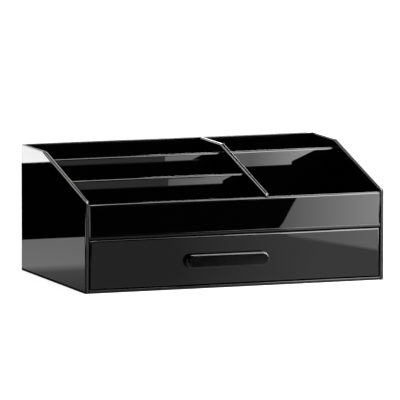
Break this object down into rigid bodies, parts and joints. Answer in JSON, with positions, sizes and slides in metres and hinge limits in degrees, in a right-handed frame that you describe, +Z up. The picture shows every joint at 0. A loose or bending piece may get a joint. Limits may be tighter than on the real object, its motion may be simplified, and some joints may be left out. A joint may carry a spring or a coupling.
{
  "type": "countertop organizer with drawer",
  "caption": "Low box of glossy black sheets with open compartments behind a sloped outline and a full-width drawer with a pill-shaped pull.",
  "frame": {"origin": "middle of the underside of the case, where it stands on a surface", "axes": "+X to the right seen from the front, +Y from the drawer to the back, +Z up"},
  "size_m": [0.3, 0.1912, 0.1214],
  "materials": {
    "case_black": "polished",
    "drawer_black": "polished"
  },
  "bodies": {
    "case": {"base_panel": "case_black", "left_side_panel": "case_black", "right_side_panel": "case_black", "back_panel": "case_black", "shelf_panel": "case_black", "upper_front_panel": "case_black", "centre_divider": "case_black", "left_front_divider": "case_black", "left_rear_divider": "case_black", "right_rear_divider": "case_black"},
    "drawer": {"drawer_front": "drawer_black", "drawer_pull": "drawer_black", "drawer_bottom": "drawer_black", "drawer_left_side": "drawer_black", "drawer_right_side": "drawer_black", "drawer_back": "drawer_black"}
  },
  "joints": [
    {"name": "drawer_slide", "type": "slide", "parent": "case", "child": "drawer", "axis": [0, -1, 0], "range_m": [0, 0.12]}
  ]
}
